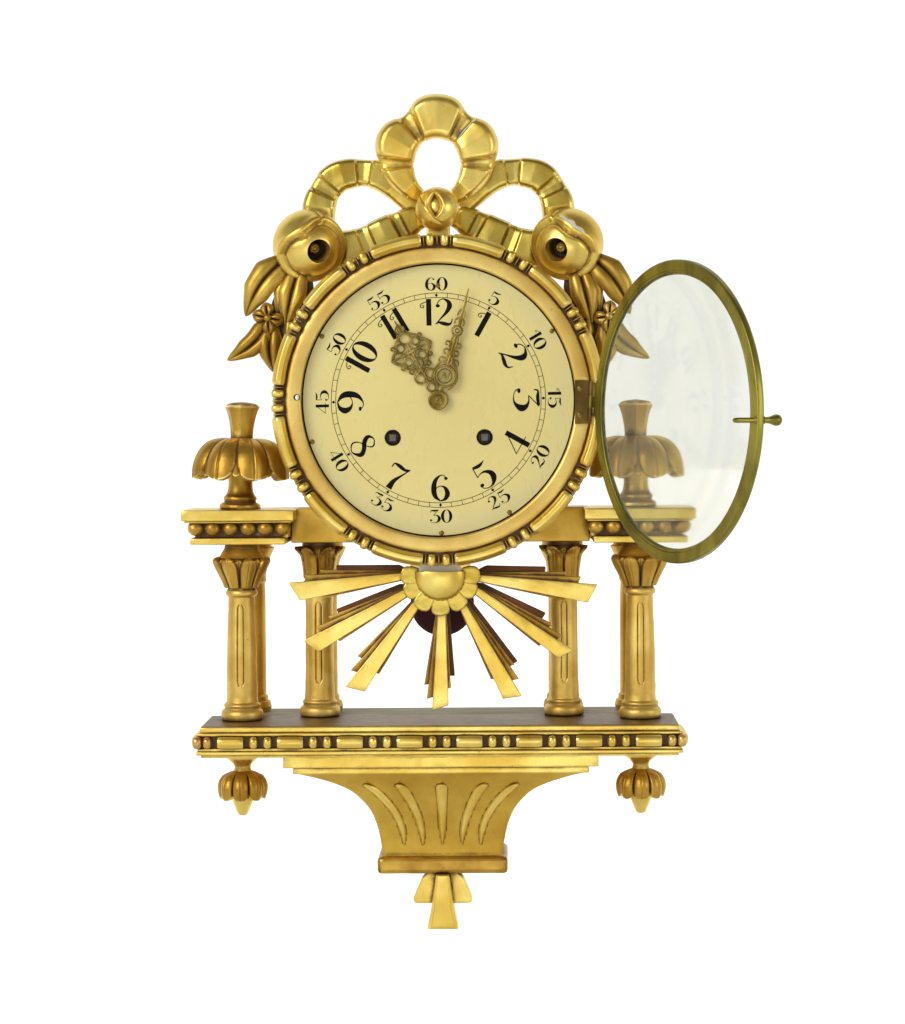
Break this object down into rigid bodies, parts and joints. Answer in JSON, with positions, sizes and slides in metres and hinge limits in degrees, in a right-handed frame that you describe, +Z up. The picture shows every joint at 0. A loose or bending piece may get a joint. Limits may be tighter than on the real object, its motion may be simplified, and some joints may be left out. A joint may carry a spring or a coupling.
{
  "type": "wall clock",
  "caption": "Carved gilded wall clock: round drum with hinged glass door, ribbon bow crest, colonnade on a bracket shelf, sun rays and a striking spring movement.",
  "frame": {"origin": "centre of the hanger plate's hole on the wall plane", "axes": "+Y points into the wall, +Z up, +X to the right of someone who faces the dial"},
  "size_m": [0.4286, 0.3154, 0.6357],
  "materials": {
    "burnished_gilding": "water gilding on gesso over carved wood, burnished, worn to bole and gesso on edges",
    "matte_gilding": "matte gilding on gesso over wood, toned with brown in the recesses",
    "bare_wood": "unfinished softwood darkened with age",
    "primed_wood": "grey primer on softwood",
    "stained_wood": "brown stained carved wood",
    "dial_lacquer": "glossy cream lacquer with printed black numerals",
    "aged_brass": "dull olive patinated brass",
    "hand_brass": "cast brass, satin, tarnished",
    "movement_brass": "lacquered movement brass",
    "steel": "oiled steel",
    "bob_lacquer": "dark reddish brown lacquer",
    "clear_glass": "old clear sheet glass, slightly milky"
  },
  "bodies": {
    "case": {"drum_case": "matte_gilding", "drum_back": "bare_wood", "hanger_plate": "steel", "bezel": "burnished_gilding", "cornice_beam": "matte_gilding", "cornice_block_left": "burnished_gilding", "cornice_block_right": "burnished_gilding", "finial_left": "burnished_gilding", "finial_right": "burnished_gilding", "outer_column_left": "matte_gilding", "outer_column_right": "matte_gilding", "inner_column_left": "matte_gilding", "inner_column_right": "matte_gilding", "rear_columns": "matte_gilding", "shelf": "burnished_gilding", "shelf_moulding": "burnished_gilding", "rear_rail": "primed_wood", "console": "burnished_gilding", "plinth": "burnished_gilding", "drops": "burnished_gilding", "pendants": "burnished_gilding", "sun_boss": "burnished_gilding", "sun_rays": "burnished_gilding", "sun_back_rays": "stained_wood", "bow_loop": "burnished_gilding", "bow_side_loops": "burnished_gilding", "bow_knot": "burnished_gilding", "rose_left": "burnished_gilding", "rose_right": "burnished_gilding", "leaf_sprays": "matte_gilding", "dial": "dial_lacquer", "brass_screws": "aged_brass", "hinge_leaf": "aged_brass", "hinge_pin": "steel", "back_plate": "movement_brass", "front_plate": "movement_brass", "gong": "steel"},
    "door": {"door_ring": "aged_brass", "door_glass": "clear_glass", "door_leaf": "aged_brass", "door_latch": "aged_brass"},
    "minute_train": {"centre_arbor": "movement_brass", "minute_hand": "hand_brass", "hand_nut": "hand_brass"},
    "hour_train": {"hour_wheel": "movement_brass", "hour_hand": "hand_brass"},
    "motion_work": {"motion_wheel": "movement_brass"},
    "time_barrel_body": {"time_barrel": "movement_brass"},
    "time_arbor": {"time_winding_arbor": "steel"},
    "strike_barrel_body": {"strike_barrel": "movement_brass"},
    "strike_arbor": {"strike_winding_arbor": "steel"},
    "intermediate": {"intermediate_wheel": "movement_brass"},
    "third": {"third_wheel": "movement_brass"},
    "escape": {"escape_wheel": "movement_brass"},
    "pendulum": {"anchor": "steel", "pendulum_rod": "steel", "pendulum_bob": "bob_lacquer"},
    "strike_wheel": {"pin_wheel": "movement_brass"},
    "fly_body": {"fly": "movement_brass"},
    "hammer_body": {"hammer": "steel"}
  },
  "joints": [
    {"name": "door_swing", "type": "hinge", "parent": "case", "child": "door", "pos_m": [0.1137, -0.11295, -0.09], "axis": [0.0445, -0.0255, 0.9987], "range_deg": [-118.5, 26]},
    {"name": "minute_turn", "type": "hinge", "parent": "case", "child": "minute_train", "pos_m": [0, -0.06, -0.088], "axis": [0, 1, 0], "continuous": true},
    {"name": "hour_turn", "type": "hinge", "parent": "case", "child": "hour_train", "pos_m": [0, -0.06, -0.088], "axis": [0, 1, 0], "continuous": true},
    {"name": "motion_turn", "type": "hinge", "parent": "case", "child": "motion_work", "pos_m": [0, -0.06, -0.0688], "axis": [0, 1, 0], "continuous": true},
    {"name": "intermediate_turn", "type": "hinge", "parent": "case", "child": "intermediate", "pos_m": [0.028, -0.06, -0.07715], "axis": [0, 1, 0], "continuous": true},
    {"name": "time_barrel_turn", "type": "hinge", "parent": "case", "child": "time_barrel_body", "pos_m": [0.0344, -0.06, -0.116], "axis": [0, 1, 0], "continuous": true},
    {"name": "third_turn", "type": "hinge", "parent": "case", "child": "third", "pos_m": [-0.016, -0.06, -0.06984], "axis": [0, 1, 0], "continuous": true},
    {"name": "escape_turn", "type": "hinge", "parent": "case", "child": "escape", "pos_m": [0, -0.06, -0.05474], "axis": [0, 1, 0], "continuous": true},
    {"name": "time_winding", "type": "hinge", "parent": "case", "child": "time_arbor", "pos_m": [0.0344, -0.06, -0.116], "axis": [0, 1, 0], "continuous": true},
    {"name": "strike_barrel_turn", "type": "hinge", "parent": "case", "child": "strike_barrel_body", "pos_m": [-0.0344, -0.06, -0.116], "axis": [0, 1, 0], "continuous": true},
    {"name": "strike_wheel_turn", "type": "hinge", "parent": "case", "child": "strike_wheel", "pos_m": [-0.044, -0.06, -0.0778], "axis": [0, 1, 0], "continuous": true},
    {"name": "fly_turn", "type": "hinge", "parent": "case", "child": "fly_body", "pos_m": [-0.044, -0.06, -0.0618], "axis": [0, 1, 0], "continuous": true},
    {"name": "strike_winding", "type": "hinge", "parent": "case", "child": "strike_arbor", "pos_m": [-0.0344, -0.06, -0.116], "axis": [0, 1, 0], "continuous": true},
    {"name": "pendulum_swing", "type": "hinge", "parent": "case", "child": "pendulum", "pos_m": [0, -0.06, -0.0417], "axis": [0, 1, 0], "range_deg": [-3.5, 3.5]},
    {"name": "hammer_lift", "type": "hinge", "parent": "case", "child": "hammer_body", "pos_m": [-0.05, -0.06, -0.044], "axis": [0, 1, 0], "range_deg": [0, 10], "stiffness_Nm_per_rad": 0.02}
  ],
  "couplings": [
    {"joint": "hour_turn", "follows": "minute_turn", "ratio": 0.083333},
    {"joint": "motion_turn", "follows": "minute_turn", "ratio": -0.33333},
    {"joint": "intermediate_turn", "follows": "minute_turn", "ratio": -0.3125},
    {"joint": "time_barrel_turn", "follows": "minute_turn", "ratio": 0.078125},
    {"joint": "third_turn", "follows": "minute_turn", "ratio": -10},
    {"joint": "escape_turn", "follows": "minute_turn", "ratio": 100},
    {"joint": "strike_wheel_turn", "follows": "strike_barrel_turn", "ratio": -4},
    {"joint": "fly_turn", "follows": "strike_barrel_turn", "ratio": 28}
  ]
}
